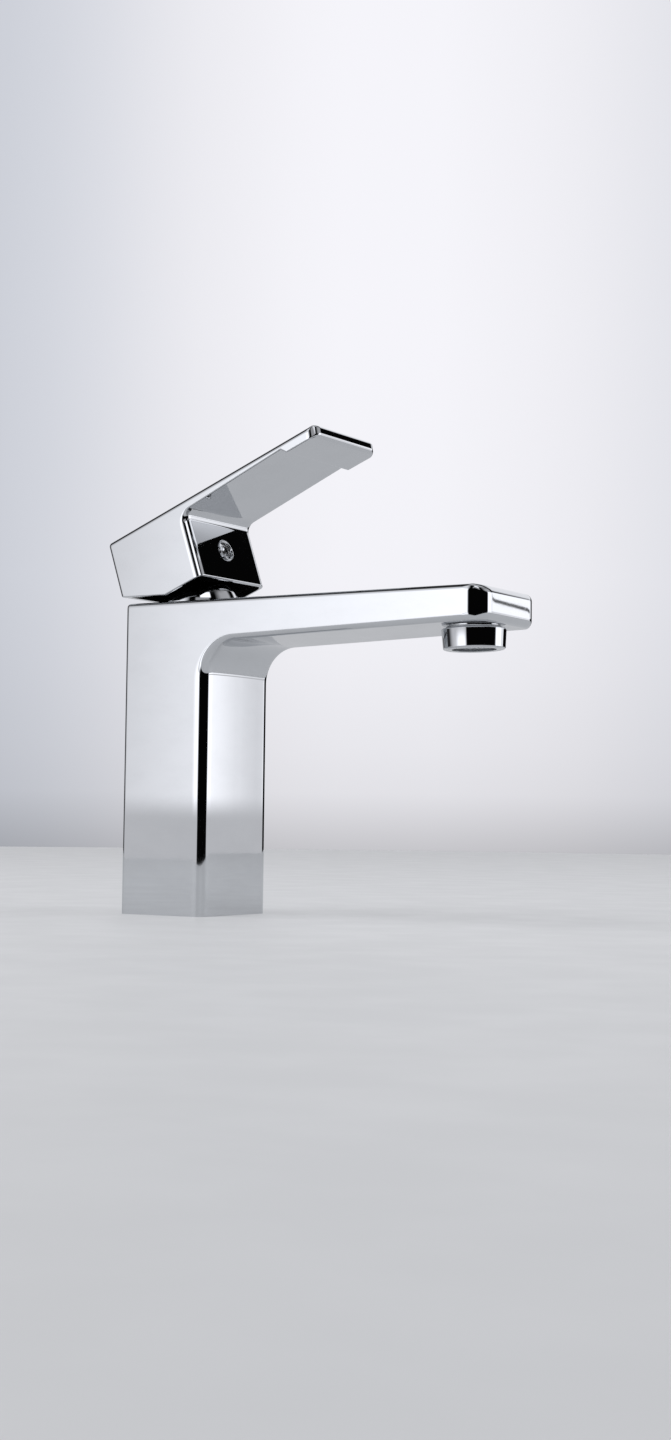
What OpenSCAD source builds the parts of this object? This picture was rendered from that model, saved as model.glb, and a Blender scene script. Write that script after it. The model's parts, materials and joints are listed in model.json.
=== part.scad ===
// Single-lever basin mixer with a square column, a flat spout and a paddle lever.
// Millimetres. The origin is the centre of the column's foot on the deck, +Z is up
// and +X runs along the spout. The handle is drawn closed and then raised to its rest pose.

/* [Body] */
// Height of the body's top face above the deck
body_h = 142; // [138:1:150]
// Column depth along the spout
col_d = 46; // [45:1:50]
// Width of the column, the spout and the handle
body_w = 52; // [52:1:56]
// Length of the body from the column's rear to the spout's tip
body_len = 186; // [175:1:200]
// Spout thickness where it leaves the column
spout_root = 19; // [18:0.5:21]
// Spout thickness at the tip
spout_tip = 15; // [14:0.5:16]
// Radius where the spout's underside meets the column
spout_fillet = 16; // [12:1:16]
// Wall thickness of the casting
wall = 4; // [3.5:0.5:4]

/* [Handle] */
// How far the handle stands raised from closed, in degrees
handle_lift = 22; // [0:1:22]
// Length of the handle from its rear face to its tip
handle_len = 122.8; // [115:0.2:130]
// Height of the housing at its rear
housing_rear_h = 26.7; // [26:0.1:28]
// Height of the housing at its front
housing_front_h = 36.35; // [36:0.05:36.5]
// Thickness of the arm at its root
arm_root = 5; // [4.6:0.2:5.4]
// Thickness of the arm where the pad starts
arm_thin = 3; // [2.8:0.1:3.4]
// Thickness of the pad under the tip
pad_t = 5.6; // [5:0.1:6]
// Wall thickness of the housing
housing_wall = 3.2; // [3:0.1:3.4]

/* [Dome and aerator] */
// Radius of the dome cap, a sphere about the lift pivot
dome_r = 19.05; // [19:0.05:19.1]
// Height of the dome cap above the body
dome_h = 10.3; // [9.5:0.1:10.5]
// Distance of the aerator's axis from the column's axis
aerator_x = 145; // [140:1:146]
// Height of the aerator ring below the spout
aerator_h = 9.8; // [9.5:0.1:10.5]
// Radius of the aerator ring at its top
aerator_r = 14; // [13.8:0.1:14.2]

/* [Deck fixing] */
// Thickness of the deck that the washers clamp
deck_t = 30; // [25:1:36]
// Radius of the mounting stud
stud_r = 4; // [4:0.5:4]
// Distance of the stud's axis in front of the column's axis
stud_x = 12; // [11.5:0.5:12.5]

/* [Hidden] */
$fn = 64;
eps = 0.5;

CHROME = "gainsboro";
BRASS = "goldenrod";
STEEL = "silver";
RUBBER = "dimgray";
PLASTIC = "ivory";
CERAMIC = "white";

// body
rear_x = -col_d / 2;
front_x = col_d / 2;
tip_x = rear_x + body_len;
under_root_z = body_h - spout_root;
under_tip_z = body_h - spout_tip;
under_slope = (under_tip_z - under_root_z) / (tip_x - front_x);
under_angle = atan(under_slope);
core_z = 84;              // underside of the solid core inside the column
floor_z = 104;            // floor of the cartridge pocket
pocket_r = 17.7;
chamber_r = 19;           // outlet chamber round the pocket's floor
chamber_top_z = 107.5;
thread_r = 18.6;          // cartridge thread at the top of the pocket
thread_z = 130;
inlet_r = 4.5;            // tapped hole for a hose end
inlet_depth = 10;
inlet_x = 0.9;
inlet_y = 7.2;
port_x = 2.5;             // inlet ports of the cartridge
port_y = 6;
port_r = 2.4;
channel_r = 3.5;          // passage from the pocket to the spout
waterway_w = body_w - 3 * wall;
waterway_x = 26;
seal_in = 1.2;            // base seal's distance from the outer face
seal_w = 2;
seal_t = 2.5;

// deck fixing, below the deck
stud_hold = 13;           // length of the stud held in the column's core
stud_tail = 28;           // length of the stud below the deck
washer_r = 25;
rubber_t = 3;
steel_t = 2;
slot_x = 5.8;             // front end of the washers' slot, clear of the hoses
slot_w = 30.4;
stud_nut_r = 7.5;
stud_nut_h = 8;
stud_nut_z = -deck_t - rubber_t - steel_t - stud_nut_h;
flange_r = 8.4;
flange_t = 1.4;

// cartridge, from the pocket's floor up
base_z = 104.4;
base_flange_top_z = 106.5;
disc_z = 109;
disc_t = 4.5;
moving_z = disc_z + disc_t;
moving_t = 4;
carrier_z = moving_z + moving_t;
moving_r = 11.3;
carrier_t = 3.5;
base_r = 17.2;
outlet_x = -4.5;          // outlet port through the base and the fixed disc
outlet_r = 3.2;
inlet_seal_r = 4.2;
inlet_seal_in = 1.2;      // depth of an inlet seal's seat in the base
port_seal_r = 12.6;
port_seal_w = 1.4;
housing_r = 17.4;
housing_seal_r = 16.9;
housing_seal_z = 123.9;
cell_r = 14.5;            // inside of the cartridge housing
shoulder_z = 134;
neck_top_z = 140;
neck_r = 13.6;
cell_top_z = 129.7;
turret_z = 126.3;
turret_top_z = 145.5;
turret_r = 12.4;
turret_play = 0.05;
turret_flange_r = 14.2;
turret_flange_z = 129.4;
guide_w = 11;             // the carrier's hub, guided in the turret's groove
guide_top_z = 128;
nut_z = shoulder_z;
nut_hex_z = 139.5;
nut_top_z = 141.6;
nut_hex_r = 16.4;
nut_bore_r = 13.9;

// stem and lift pivot
pivot_z = 141;
stem_lean = 11;           // the stem leans this far forward when closed and back when raised
ball_drop = 16;           // from the pivot down to the ball's centre
ball_r = 3;
pin_r = 1.5;
stem_w = 8;
stem_top = 30;            // from the pivot up to the stem's end
stem_neck_r = 2.2;
travel = ball_drop * sin(handle_lift - stem_lean);   // of the moving disc, at the rest pose

// handle, closed
handle_rear_x = rear_x + 2;
handle_top_z = 181.3;
housing_front_x = front_x + 1.4;
screw_z = 160.2;
screw_r = 2.5;
index_r = 5.15;
index_lens_r = 4;
index_depth = 2.2;
boss_w = 15;
boss_z = pivot_z + 10.5;
boss_h = 28.5;
rib_w = 11;
rib_h = 12;
face_x = housing_front_x - 1;   // the housing's front face at the screw's height

// dome
dome_t = 1.4;
spigot_r = 18.4;
spigot_in_r = 16.8;
spigot_z = 139.8;
dome_seal_r = 18.05;

// aerator
aerator_thread_r = 12;
aerator_seat = 6.6;       // how far the tapped bore goes up into the spout
aerator_bore_r = 9;
aerator_boss_r = 15;
washer_t = 1.6;
screen_r = 10.4;
screen_z = 3.4;
screen_t = 0.6;
screen_pitch = 2;
screen_hole = 1.4;
insert_r = 10.6;
insert_in_r = 9.2;
cell_pitch = 2.5;
cell_hole_r = 1.15;

function unit(v) = v / norm(v);
function turned(v, a) = [v[0] * cos(a) - v[1] * sin(a), v[0] * sin(a) + v[1] * cos(a)];

// One corner of an outline: the point itself, or an arc of n chords tangent to both sides.
function corner(p, before, after, r, n) =
    r == 0 ? [p] :
    let (a = unit(before - p), b = unit(after - p),
         half = acos(a * b) / 2,
         centre = p + unit(a + b) * r / sin(half),
         start = p + a * r / tan(half) - centre,
         turn = (cross(a, b) < 0 ? 1 : -1) * (180 - 2 * half))
    [for (i = [0:n]) centre + turned(start, turn * i / n)];

// An outline given as [x, y, corner radius], with its corners rounded.
function rounded(outline, n = 6) =
    let (last = len(outline) - 1, xy = [for (q = outline) [q[0], q[1]]])
    [for (i = [0:last])
        each corner(xy[i], xy[i == 0 ? last : i - 1], xy[i == last ? 0 : i + 1], outline[i][2], n)];

function box_outline(x0, x1, w, r_rear, r_front) =
    [[x0, -w / 2, r_rear], [x1, -w / 2, r_front], [x1, w / 2, r_front], [x0, w / 2, r_rear]];

// A side view, drawn in x and z, as a solid of width w centred on y = 0.
module side(w, outline, n = 6)
    rotate([90, 0, 0]) linear_extrude(w, center = true) polygon(rounded(outline, n));

// A front view, drawn in y and z, as a solid from x0 to x1.
module front(x0, x1, outline, n = 6)
    translate([x0, 0, 0]) rotate([90, 0, 90]) linear_extrude(x1 - x0) polygon(rounded(outline, n));

module tube(r_out, r_in, z0, z1)
    translate([0, 0, z0]) difference() {
        cylinder(r = r_out, h = z1 - z0);
        translate([0, 0, -eps]) cylinder(r = r_in, h = z1 - z0 + 2 * eps);
    }

module bar(r, z0, z1) translate([0, 0, z0]) cylinder(r = r, h = z1 - z0);

module o_ring(r, wire_r, z) translate([0, 0, z]) rotate_extrude() translate([r, 0]) circle(wire_r, $fn = 32);

// Places its children in the aerator's frame, on the spout's underside and square to it.
module at_aerator()
    translate([aerator_x, 0, under_root_z + (aerator_x - front_x) * under_slope])
        rotate([0, -under_angle, 0]) children();

// Turns the closed handle up about the lift pivot, with the stem and what is on it.
module raised(angle = handle_lift)
    translate([0, 0, pivot_z]) rotate([0, -angle, 0]) translate([0, 0, -pivot_z]) children();

module body_outer() intersection() {
    side(body_w + 2, [
        [rear_x, 0, 0], [front_x, 0, 0], [front_x, under_root_z, spout_fillet],
        [tip_x, under_tip_z, 3.5], [tip_x, body_h, 3.5], [rear_x, body_h, 2]], 8);
    linear_extrude(body_h) polygon(rounded(box_outline(rear_x, tip_x, body_w, 2.2, 7)));
    front(rear_x - 1, tip_x + 1, [
        [-body_w / 2, 0, 0], [body_w / 2, 0, 0],
        [body_w / 2, body_h, 2], [-body_w / 2, body_h, 2]]);
}

// A drilled hole between two points.
module passage(from, to, r)
    translate(from) rotate([0, acos(unit(to - from)[2]), atan2(to[1] - from[1], to[0] - from[0])])
        cylinder(r = r, h = norm(to - from));

// Hollow of the spout, open to the pocket at its rear and to the aerator below.
module waterway() {
    difference() {
        side(waterway_w, [
            [waterway_x, under_root_z + 3.4, 2], [tip_x - 7, under_tip_z + 3.2, 2],
            [tip_x - 7, body_h - 3.4, 2], [waterway_x, body_h - 3.4, 2]], 3);
        at_aerator() bar(aerator_boss_r, -2, aerator_seat + 1.5);
    }
    passage([15, 0, floor_z + 2], [waterway_x + 2, 0, 132], channel_r);
}

// Groove of the base seal, in plan.
module seal_groove() difference() {
    inner = seal_in + seal_w;
    polygon(rounded(box_outline(rear_x + seal_in, front_x - seal_in, body_w - 2 * seal_in, 1.6, 1.6)));
    polygon(rounded(box_outline(rear_x + inner, front_x - inner, body_w - 2 * inner, 1, 1)));
}

module faucet_body() color(CHROME) difference() {
    body_outer();
    translate([0, 0, -eps]) linear_extrude(core_z + eps) polygon(rounded(
        box_outline(rear_x + wall, front_x - wall, body_w - 2 * wall, 3, 3)));
    translate([0, 0, -eps]) linear_extrude(seal_t + eps) seal_groove();
    bar(pocket_r, floor_z, body_h + eps);
    bar(chamber_r, floor_z, chamber_top_z);
    bar(thread_r, thread_z, body_h + eps);
    for (s = [-1, 1]) {
        translate([inlet_x, s * inlet_y, 0]) bar(inlet_r, core_z - eps, core_z + inlet_depth);
        translate([port_x, s * port_y, 0]) bar(port_r, core_z + inlet_depth - 1, floor_z + eps);
    }
    translate([stud_x, 0, 0]) bar(stud_r, core_z - eps, core_z + stud_hold);
    waterway();
    at_aerator() {
        bar(aerator_thread_r, -2, aerator_seat);
        bar(aerator_bore_r, -2, aerator_seat + 2);
    }
}

module base_seal() color(RUBBER) linear_extrude(seal_t) seal_groove();

module mounting_stud() color(STEEL)
    translate([stud_x, 0, 0]) bar(stud_r, -deck_t - stud_tail, core_z + stud_hold);

// A washer with a slot to the rear, which lets the hoses past.
module horseshoe(z, t) translate([0, 0, z]) linear_extrude(t) difference() {
    circle(washer_r);
    translate([-2 * washer_r, -slot_w / 2]) square([2 * washer_r + slot_x, slot_w]);
    translate([stud_x, 0]) circle(stud_r + 0.3);
}

module rubber_washer() color(RUBBER) horseshoe(-deck_t - rubber_t, rubber_t);

module steel_washer() color(STEEL) horseshoe(-deck_t - rubber_t - steel_t, steel_t);

module stud_nut() color(BRASS) translate([stud_x, 0, stud_nut_z]) difference() {
    union() {
        cylinder(r = stud_nut_r, h = stud_nut_h, $fn = 6);
        bar(flange_r, stud_nut_h - flange_t, stud_nut_h);
    }
    bar(stud_r, -eps, stud_nut_h + eps);
}

// Places its children at both inlet ports.
module each_port() for (s = [-1, 1]) translate([port_x, s * port_y, 0]) children();

module cartridge_base() color(PLASTIC) difference() {
    union() {
        bar(base_r, base_z, base_flange_top_z);
        bar(cell_r, base_z, disc_z);
    }
    each_port() {
        bar(port_r, base_z - eps, disc_z + eps);
        bar(inlet_seal_r, base_z - eps, base_z + inlet_seal_in);
    }
    translate([outlet_x, 0, 0]) bar(outlet_r, base_z + 1, disc_z + eps);
    translate([-20, -4, base_z - eps]) cube([15.5, 8, 3]);
    port_groove();
}

// Shape of the ring seal under the fixed disc.
module port_groove() difference() {
    bar(port_seal_r, disc_z - 1, disc_z);
    bar(port_seal_r - port_seal_w, disc_z - 2, disc_z + eps);
}

module inlet_seals() color(RUBBER)
    each_port() tube(inlet_seal_r, port_r, floor_z, base_z + inlet_seal_in);

module port_seal() color(RUBBER) port_groove();

module cartridge_housing() color(PLASTIC) difference() {
    union() {
        bar(housing_r, base_flange_top_z, shoulder_z);
        bar(neck_r, shoulder_z - 1, neck_top_z);
    }
    bar(cell_r, base_flange_top_z - eps, cell_top_z);
    bar(turret_r + turret_play, cell_top_z - eps, neck_top_z + eps);
    tube(housing_r + 1, housing_seal_r - 0.8, housing_seal_z - 0.9, housing_seal_z + 0.9);
}

module housing_seal() color(RUBBER) o_ring(housing_seal_r, 0.8, housing_seal_z);

module fixed_disc() color(CERAMIC) difference() {
    bar(cell_r - 0.1, disc_z, disc_z + disc_t);
    each_port() bar(port_r, disc_z - eps, moving_z + eps);
    translate([outlet_x, 0, 0]) bar(outlet_r, disc_z - eps, moving_z + eps);
}

module moving_disc() color(CERAMIC) translate([travel, 0, 0]) difference() {
    bar(moving_r, moving_z + 0.02, moving_z + moving_t);
    intersection() {
        bar(9.3, moving_z - eps, moving_z + 1.8);
        translate([-10, -10, moving_z - 1]) cube([11.5, 20, 4]);
    }
}

module disc_carrier() color(PLASTIC) translate([travel, 0, 0]) difference() {
    union() {
        bar(moving_r, carrier_z, carrier_z + carrier_t);
        translate([-6, -guide_w / 2, carrier_z + 3]) cube([12, guide_w, guide_top_z - carrier_z - 3]);
    }
    bar(ball_r + 0.1, pivot_z - ball_drop - ball_r - 0.3, guide_top_z + eps);
}

module turret() color(PLASTIC) difference() {
    union() {
        bar(turret_flange_r, turret_z, turret_flange_z);
        bar(turret_r, turret_z, turret_top_z);
    }
    translate([-15, -guide_w / 2 - 0.1, turret_z - eps])
        cube([30, guide_w + 0.2, guide_top_z + 0.3 - turret_z + eps]);
    side(stem_w + 0.1, [
        [-6.2, turret_z + 0.7, 0], [6.2, turret_z + 0.7, 0], [4, pivot_z, 0],
        [5.2, turret_top_z + eps, 0], [-5.2, turret_top_z + eps, 0], [-4, pivot_z, 0]]);
    stem_pin_bar(pin_r, 30);
}

// A round bar along the lift pivot's axis.
module stem_pin_bar(r, length)
    translate([0, 0, pivot_z]) rotate([90, 0, 0]) cylinder(r = r, h = length, center = true);

module stem_pin() color(STEEL) stem_pin_bar(pin_r, 24);

module stem() color(BRASS) raised(handle_lift - stem_lean) difference() {
    union() {
        translate([0, 0, pivot_z - ball_drop]) sphere(ball_r);
        bar(stem_neck_r, pivot_z - ball_drop, pivot_z - 9);
        translate([-3.2, -stem_w / 2, pivot_z - 10]) cube([6.4, stem_w, 16]);
        translate([-stem_w / 2, -stem_w / 2, pivot_z + 5.5]) cube([stem_w, stem_w, stem_top - 5.5]);
    }
    stem_pin_bar(pin_r + 0.05, 30);
}

module lock_nut() color(BRASS) difference() {
    union() {
        bar(thread_r, nut_z, nut_hex_z);
        translate([0, 0, nut_hex_z - 1]) cylinder(r = nut_hex_r, h = nut_top_z - nut_hex_z + 1, $fn = 6);
    }
    bar(nut_bore_r, nut_z - eps, nut_top_z + eps);
}

module dome_cap() color(CHROME) {
    intersection() {
        translate([0, 0, pivot_z]) difference() {
            sphere(dome_r);
            sphere(dome_r - dome_t);
        }
        bar(dome_r + 1, body_h, body_h + dome_h);
    }
    difference() {
        tube(spigot_r, spigot_in_r, spigot_z, body_h + eps);
        tube(spigot_r + 1, spigot_r - 0.9, spigot_z + 0.5, spigot_z + 1.7);
    }
}

module dome_seal() color(RUBBER) o_ring(dome_seal_r, 0.55, spigot_z + 1.1);

// The handle's outside as it stands closed: housing, arm and pad in one outline.
module handle_outer() intersection() {
    side(body_w + 2, [
        [handle_rear_x, handle_top_z, 2],
        [handle_rear_x - 1.7, handle_top_z - housing_rear_h, 1],
        [handle_rear_x + 22, handle_top_z - housing_front_h, 0],
        [handle_rear_x + 43.5, handle_top_z - housing_front_h, 1],
        [housing_front_x, handle_top_z - arm_root, 5],
        [handle_rear_x + 102.7, handle_top_z - arm_thin, 0],
        [handle_rear_x + 105, handle_top_z - pad_t, 0.8],
        [handle_rear_x + handle_len - 1.1, handle_top_z - pad_t, 1],
        [handle_rear_x + handle_len, handle_top_z, 1.2]]);
    translate([0, 0, handle_top_z - 50]) linear_extrude(50) polygon(rounded(
        box_outline(handle_rear_x - 1.8, handle_rear_x + handle_len, body_w, 2, 4)));
    front(rear_x - 10, tip_x, [
        [-body_w / 2, handle_top_z - 50, 0], [body_w / 2, handle_top_z - 50, 0],
        [body_w / 2, handle_top_z, 1.6], [-body_w / 2, handle_top_z, 1.6]]);
}

// Block inside the housing that grips the stem and carries the set screw.
module stem_boss() {
    raised(-stem_lean) translate([-boss_w / 2, -boss_w / 2, boss_z]) cube([boss_w, boss_w, boss_h]);
    translate([4, -rib_w / 2, screw_z - rib_h / 2]) cube([housing_front_x - 5.5, rib_w, rib_h]);
}

module handle() color(CHROME) raised() difference() {
    union() {
        difference() {
            handle_outer();
            side(body_w - 2 * housing_wall, [
                [handle_rear_x + 1.1, handle_top_z - 42, 0], [housing_front_x - 5.4, handle_top_z - 42, 0],
                [housing_front_x - housing_wall, handle_top_z - 4.5, 1.5],
                [handle_rear_x + housing_wall, handle_top_z - 4.5, 1.5]], 3);
        }
        intersection() {
            stem_boss();
            handle_outer();
        }
    }
    raised(-stem_lean) translate([-stem_w / 2, -stem_w / 2, pivot_z + 5])
        cube([stem_w, stem_w, stem_top - 4.8]);
    screw_bar(0, housing_front_x + 2, screw_r);
    screw_bar(face_x - index_depth, 10, index_r);
}

// A round bar along the set screw's axis, from x0 over a length.
module screw_bar(x0, length, r)
    translate([x0, 0, screw_z]) rotate([0, 90, 0]) cylinder(r = r, h = length);

module set_screw() color(STEEL) raised() difference() {
    screw_bar(8.3, 10, screw_r);
    translate([15.3, 0, screw_z]) rotate([0, 90, 0]) cylinder(r = 1.45, h = 4, $fn = 6);
}

module index_bezel() color(CHROME) raised() translate([face_x - index_depth, 0, screw_z]) rotate([0, 90, 0])
    rotate_extrude() polygon(rounded([
        [index_lens_r, 0, 0], [index_r, 0, 0], [index_r, index_depth + 0.6, 0.4],
        [index_lens_r, index_depth + 0.6, 0.4]], 4));

module index_lens() color("aliceblue") raised()
    translate([face_x - index_depth, 0, screw_z]) rotate([0, 90, 0]) union() {
        rotate_extrude() polygon(rounded([
            [0, 0, 0], [index_lens_r, 0, 0], [index_lens_r, index_depth + 0.3, 0.5],
            [0, index_depth + 0.5, 0]], 4));
        translate([0, 0, -2]) cylinder(r = screw_r, h = 2.5);
    }

module aerator_shell() color(CHROME) at_aerator() rotate_extrude() polygon(rounded([
    [10.7, aerator_seat - washer_t, 0], [10.7, 1.2 - aerator_h, 0], [9.6, 0.4 - aerator_h, 0],
    [9.6, -aerator_h, 0], [aerator_r - 0.65, -aerator_h, 0.6], [aerator_r, -1.5, 0.6],
    [12.4, -1.5, 0], [12.4, 0, 0], [aerator_thread_r, 0, 0],
    [aerator_thread_r, aerator_seat - washer_t, 0.3]], 4));

module aerator_insert() color("lightgray") at_aerator() {
    difference() {
        bar(insert_r, 1.3 - aerator_h, screen_z);
        bar(insert_in_r, 3 - aerator_h, screen_z + eps);
        for (i = [-3:3], j = [-3:3]) {
            x = cell_pitch * (i + j / 2);
            y = cell_pitch * j * sin(60);
            if (norm([x, y]) < 8) translate([x, y, -aerator_h]) cylinder(r = cell_hole_r, h = 4, $fn = 6);
        }
    }
}

module aerator_screen() color(STEEL) at_aerator() difference() {
    bar(screen_r, screen_z, screen_z + screen_t);
    for (i = [-4:4], j = [-4:4])
        if (norm([i, j]) < 4.4)
            translate([screen_pitch * i, screen_pitch * j, screen_z + screen_t / 2])
                cube([screen_hole, screen_hole, 2 * screen_t], center = true);
}

module aerator_washer() color(RUBBER) at_aerator()
    tube(11.9, aerator_bore_r, aerator_seat - washer_t, aerator_seat);

faucet_body();
base_seal();
mounting_stud();
rubber_washer();
steel_washer();
stud_nut();
cartridge_base();
inlet_seals();
port_seal();
cartridge_housing();
housing_seal();
fixed_disc();
moving_disc();
disc_carrier();
turret();
stem_pin();
stem();
lock_nut();
dome_cap();
dome_seal();
handle();
set_screw();
index_bezel();
index_lens();
aerator_shell();
aerator_insert();
aerator_screen();
aerator_washer();
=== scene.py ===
"""Looks of the single-lever basin mixer: chrome shells, cartridge parts, fixings, light and camera.

Everything is in metres, in the frame of the CAD model: the origin is the centre of the column's
foot on the deck, +Z is up and +X runs along the spout.
"""
import json
import math

import bmesh
import bpy
from mathutils import Matrix, Vector


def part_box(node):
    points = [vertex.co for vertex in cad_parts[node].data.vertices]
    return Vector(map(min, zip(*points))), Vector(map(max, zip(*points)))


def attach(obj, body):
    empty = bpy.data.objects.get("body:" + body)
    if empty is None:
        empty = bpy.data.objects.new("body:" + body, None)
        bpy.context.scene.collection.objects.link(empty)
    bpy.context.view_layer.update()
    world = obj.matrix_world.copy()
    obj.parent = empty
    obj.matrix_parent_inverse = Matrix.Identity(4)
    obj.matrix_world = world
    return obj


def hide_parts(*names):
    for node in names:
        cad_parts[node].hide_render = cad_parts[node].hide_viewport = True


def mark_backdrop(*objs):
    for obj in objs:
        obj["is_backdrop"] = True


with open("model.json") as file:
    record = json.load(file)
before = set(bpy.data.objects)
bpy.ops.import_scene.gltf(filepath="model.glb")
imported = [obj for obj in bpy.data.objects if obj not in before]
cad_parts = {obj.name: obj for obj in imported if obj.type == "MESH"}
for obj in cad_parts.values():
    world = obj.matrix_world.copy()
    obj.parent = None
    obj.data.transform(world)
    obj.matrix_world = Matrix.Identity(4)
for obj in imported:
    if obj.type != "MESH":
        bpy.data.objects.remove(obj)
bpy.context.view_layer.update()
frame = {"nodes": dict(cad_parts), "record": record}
NODES = frame["nodes"]
MM = 0.001

# ---------------------------------------------------------------- sizes, in millimetres
body_lo, body_hi = [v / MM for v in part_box("faucet_body")]
REAR_X, TIP_X = body_lo.x, body_hi.x
BODY_W, BODY_H = body_hi.y - body_lo.y, body_hi.z
FRONT_X = -REAR_X
UNDER_ROOT_Z, UNDER_TIP_Z = BODY_H - 19.0, BODY_H - 15.0
UNDER_SLOPE = (UNDER_TIP_Z - UNDER_ROOT_Z) / (TIP_X - FRONT_X)
SPOUT_FILLET = 16.0
WALL = 4.0

PIVOT_Z = 141.0           # lift axis of the handle, along Y
HANDLE_LIFT = 22.0        # degrees that the stored pose stands above closed
STEM_LEAN = 11.0
HANDLE_REAR_X = REAR_X + 2
HANDLE_TOP_Z = 181.3
HANDLE_LEN = 122.8
HOUSING_FRONT_X = FRONT_X + 1.4
HOUSING_WALL = 3.2
SCREW_Z = 160.2
FACE_X = HOUSING_FRONT_X - 1    # the housing's front face at the screw's height
INDEX_DEPTH = 2.2

AERATOR_X = 145.0
AERATOR_Z = UNDER_ROOT_Z + (AERATOR_X - FRONT_X) * UNDER_SLOPE
AERATOR_TILT = math.atan(UNDER_SLOPE)
STUD_X = 12.0
STUD_R = 4.0
STUD_HOLD = 13.0          # length of the stud held in the core
CORE_Z = 84.0             # underside of the solid core inside the column
FLOOR_Z = 104.0           # floor of the cartridge pocket


# ---------------------------------------------------------------- outlines and meshes
def corner(p, before, after, r, n):
    """One corner of an outline: the point, or an arc of n chords tangent to both sides."""
    if r == 0:
        return [p]
    a, b = (before - p).normalized(), (after - p).normalized()
    half = math.acos(max(-1.0, min(1.0, a.dot(b)))) / 2
    centre = p + (a + b).normalized() * r / math.sin(half)
    start = p + a * r / math.tan(half) - centre
    turn = (math.pi - 2 * half) * (1 if a.cross(b) < 0 else -1)
    return [centre + Matrix.Rotation(turn * i / n, 2) @ start for i in range(n + 1)]


def rounded(outline, n=8):
    """An outline of (x, y, corner radius) with its corners rounded."""
    xy = [Vector(q[:2]) for q in outline]
    points = []
    for i, q in enumerate(outline):
        points += corner(xy[i], xy[i - 1], xy[(i + 1) % len(xy)], q[2], n)
    return points


def add_object(name, bm):
    """Turns a bmesh in millimetres into an object in metres, and frees it."""
    bmesh.ops.remove_doubles(bm, verts=bm.verts, dist=1e-5)
    bmesh.ops.recalc_face_normals(bm, faces=bm.faces)
    bmesh.ops.scale(bm, vec=(MM, MM, MM), verts=bm.verts)
    mesh = bpy.data.meshes.new(name)
    bm.to_mesh(mesh)
    bm.free()
    obj = bpy.data.objects.new(name, mesh)
    bpy.context.scene.collection.objects.link(obj)
    return obj


def apply_modifier(obj, kind, **settings):
    """Adds a modifier with its settings and applies it at once."""
    mod = obj.modifiers.new(kind.lower(), kind)
    for key, value in settings.items():
        setattr(mod, key, value)
    with bpy.context.temp_override(object=obj, active_object=obj):
        bpy.ops.object.modifier_apply(modifier=mod.name)


def shade(obj, angle=30):
    """Smooth shading with sharp edges above an angle, and normals weighted by face area."""
    obj.data.polygons.foreach_set("use_smooth", [True] * len(obj.data.polygons))
    obj.data.set_sharp_from_angle(angle=math.radians(angle))
    mod = obj.modifiers.new("weighted_normals", "WEIGHTED_NORMAL")
    mod.keep_sharp = True
    mod.weight = 100
    return obj


def extruded(outline, depth, place):
    """A closed prism: the outline at both ends of depth, placed by place(u, v, w)."""
    bm = bmesh.new()
    ends = [[bm.verts.new(place(p.x, p.y, w)) for p in outline] for w in (-depth / 2, depth / 2)]
    bridge(bm, ends)
    bm.faces.new(ends[0][::-1])
    bm.faces.new(ends[1])
    return bm


def bridge(bm, rings):
    """Joins each closed ring of points to the next with quads."""
    for a, b in zip(rings, rings[1:]):
        for i in range(len(a)):
            j = (i + 1) % len(a)
            bm.faces.new((a[i], a[j], b[j], b[i]))


def side_prism(outline, width):
    """A side view in x and z, as a prism centred on y = 0."""
    return extruded(outline, width, lambda x, z, y: (x, y, z))


def plan_prism(outline, z0, z1):
    """A plan in x and y, as a prism from z0 to z1."""
    return extruded(outline, z1 - z0, lambda x, y, z: (x, y, z + (z0 + z1) / 2))


def lathe(outline, n=128, matrix=Matrix.Identity(4)):
    """Turns an outline of (radius, z) points about Z, then places it."""
    bm = bmesh.new()
    rings = []
    for p in outline:
        if p.x < 1e-6:
            rings.append([bm.verts.new((0, 0, p.y))])
        else:
            rings.append([bm.verts.new((p.x * math.cos(t), p.x * math.sin(t), p.y))
                          for t in (2 * math.pi * i / n for i in range(n))])
    for a, b in zip(rings, rings[1:] + rings[:1]):
        if len(a) == 1 and len(b) == 1:
            continue
        for i in range(n):
            j = (i + 1) % n
            if len(a) == 1:
                bm.faces.new((a[0], b[j], b[i]))
            elif len(b) == 1:
                bm.faces.new((a[i], a[j], b[0]))
            else:
                bm.faces.new((a[i], a[j], b[j], b[i]))
    bmesh.ops.transform(bm, matrix=matrix, verts=bm.verts)
    return bm


def cylinder(r, z0, z1, n=96, matrix=Matrix.Identity(4)):
    return lathe([Vector(p) for p in ((0, z0), (r, z0), (r, z1), (0, z1))], n, matrix)


def upright_hole(r, x, y, z0, z1):
    """Cutter for an upright drilled hole."""
    return cylinder(r, z0, z1, 48, Matrix.Translation((x, y, 0)))


def plan_box(x0, x1, width, rear_corner, front_corner):
    """Plan of a box centred on y = 0, as an outline with corner radii."""
    half = width / 2
    return [(x0, -half, rear_corner), (x1, -half, front_corner), (x1, half, front_corner),
            (x0, half, rear_corner)]


def block(lo, hi, matrix=Matrix.Identity(4)):
    """Cutter or boss: a box between two corners, then placed."""
    bm = bmesh.new()
    bmesh.ops.create_cube(bm, size=1)
    size = Vector(hi) - Vector(lo)
    bmesh.ops.scale(bm, vec=size, verts=bm.verts)
    bmesh.ops.translate(bm, vec=(Vector(hi) + Vector(lo)) / 2, verts=bm.verts)
    bmesh.ops.transform(bm, matrix=matrix, verts=bm.verts)
    return bm


def boolean(obj, operation, *cutters):
    """Cuts or joins each cutter in turn; the cutters are bmeshes and are used up."""
    for bm in cutters:
        cutter = add_object("cutter", bm)
        apply_modifier(obj, "BOOLEAN", operation=operation, object=cutter, solver="EXACT")
        bpy.data.objects.remove(cutter)


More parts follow.
